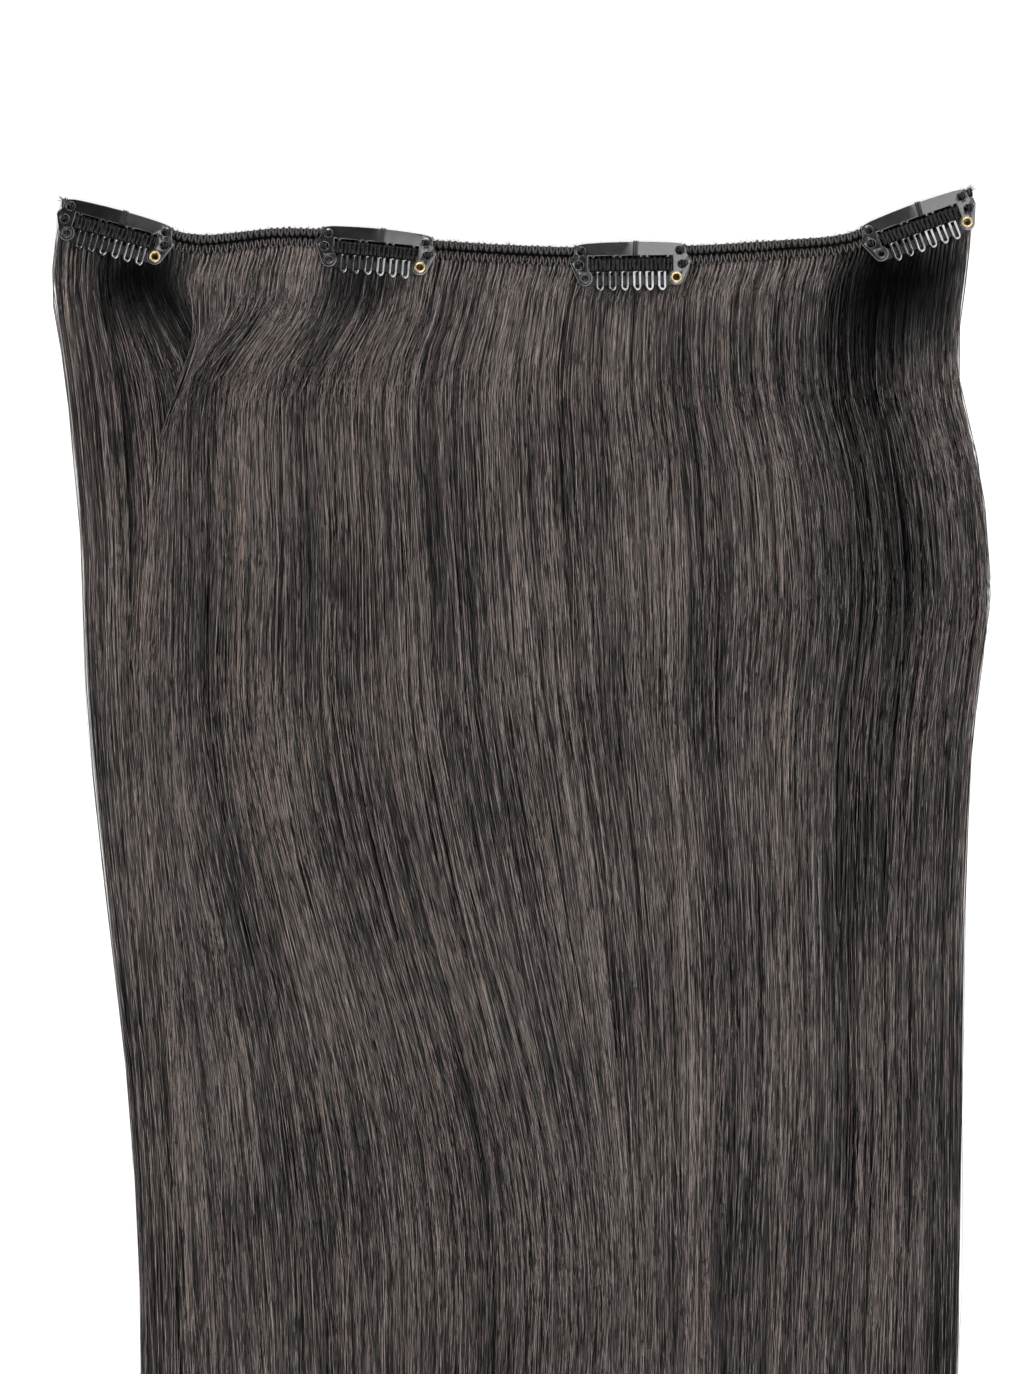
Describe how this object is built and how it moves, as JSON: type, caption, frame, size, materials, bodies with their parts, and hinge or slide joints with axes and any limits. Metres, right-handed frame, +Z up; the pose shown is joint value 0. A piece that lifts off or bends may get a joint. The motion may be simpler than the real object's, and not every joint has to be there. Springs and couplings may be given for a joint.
{
  "type": "clip in hair extension",
  "caption": "Clip-in hair extension: a long curtain of straight hair on a doubled sewn weft, with snap combs along the weft that swing open and shut.",
  "frame": {"origin": "on the surface it lies on, under the middle of the whole extension's outline", "axes": "+Y from the hair's tips up to the weft, +X along the weft to the viewer's right, +Z up from the surface, the way the clips face"},
  "size_m": [0.2492, 0.4216, 0.007],
  "materials": {
    "hair_curtain": "straight off-black human or fibre hair, soft sheen",
    "weft_upper_track": "sewn black thread over the gathered hair ends",
    "weft_lower_track": "sewn black thread over the gathered hair ends",
    "clip_1_plate": "gloss black enamel on spring steel",
    "clip_1_comb": "gloss black enamel on spring steel",
    "clip_1_bar": "gloss black enamel on spring steel",
    "clip_1_eyelet_left": "gloss black enamel on a rolled rivet",
    "clip_1_eyelet_right": "bare polished brass rivet",
    "clip_1_grip": "ribbed matt black silicone",
    "clip_2_plate": "gloss black enamel on spring steel",
    "clip_2_comb": "gloss black enamel on spring steel",
    "clip_2_bar": "gloss black enamel on spring steel",
    "clip_2_eyelet_left": "gloss black enamel on a rolled rivet",
    "clip_2_eyelet_right": "bare polished brass rivet",
    "clip_2_grip": "ribbed matt black silicone",
    "clip_3_plate": "gloss black enamel on spring steel",
    "clip_3_comb": "gloss black enamel on spring steel",
    "clip_3_bar": "gloss black enamel on spring steel",
    "clip_3_eyelet_left": "gloss black enamel on a rolled rivet",
    "clip_3_eyelet_right": "bare polished brass rivet",
    "clip_3_grip": "ribbed matt black silicone",
    "clip_4_plate": "gloss black enamel on spring steel",
    "clip_4_comb": "gloss black enamel on spring steel",
    "clip_4_bar": "gloss black enamel on spring steel",
    "clip_4_eyelet_left": "gloss black enamel on a rolled rivet",
    "clip_4_eyelet_right": "bare polished brass rivet",
    "clip_4_grip": "ribbed matt black silicone"
  },
  "bodies": {
    "root": {"weft_upper_track": "weft_upper_track", "weft_lower_track": "weft_lower_track", "hair_curtain": "hair_curtain", "clip_1_plate": "clip_1_plate", "clip_1_bar": "clip_1_bar", "clip_1_eyelet_left": "clip_1_eyelet_left", "clip_1_eyelet_right": "clip_1_eyelet_right", "clip_2_plate": "clip_2_plate", "clip_2_bar": "clip_2_bar", "clip_2_eyelet_left": "clip_2_eyelet_left", "clip_2_eyelet_right": "clip_2_eyelet_right", "clip_3_plate": "clip_3_plate", "clip_3_bar": "clip_3_bar", "clip_3_eyelet_left": "clip_3_eyelet_left", "clip_3_eyelet_right": "clip_3_eyelet_right", "clip_4_plate": "clip_4_plate", "clip_4_bar": "clip_4_bar", "clip_4_eyelet_left": "clip_4_eyelet_left", "clip_4_eyelet_right": "clip_4_eyelet_right"},
    "clip_1_comb_body": {"clip_1_comb": "clip_1_comb", "clip_1_grip": "clip_1_grip"},
    "clip_2_comb_body": {"clip_2_comb": "clip_2_comb", "clip_2_grip": "clip_2_grip"},
    "clip_3_comb_body": {"clip_3_comb": "clip_3_comb", "clip_3_grip": "clip_3_grip"},
    "clip_4_comb_body": {"clip_4_comb": "clip_4_comb", "clip_4_grip": "clip_4_grip"}
  },
  "joints": [
    {"name": "clip_1_snap", "type": "hinge", "parent": "root", "child": "clip_1_comb_body", "pos_m": [-0.10754, 0.2005, 0.00448], "axis": [-0.9646, 0.2638, 0], "range_deg": [0, 35]},
    {"name": "clip_2_snap", "type": "hinge", "parent": "root", "child": "clip_2_comb_body", "pos_m": [-0.03832, 0.19556, 0.00486], "axis": [-0.9955, 0.0952, 0], "range_deg": [0, 35]},
    {"name": "clip_3_snap", "type": "hinge", "parent": "root", "child": "clip_3_comb_body", "pos_m": [0.0292, 0.19194, 0.00437], "axis": [-0.9999, -0.0129, 0], "range_deg": [0, 35]},
    {"name": "clip_4_snap", "type": "hinge", "parent": "root", "child": "clip_4_comb_body", "pos_m": [0.10546, 0.20209, 0.00473], "axis": [-0.9401, -0.341, 0], "range_deg": [0, 35]}
  ]
}
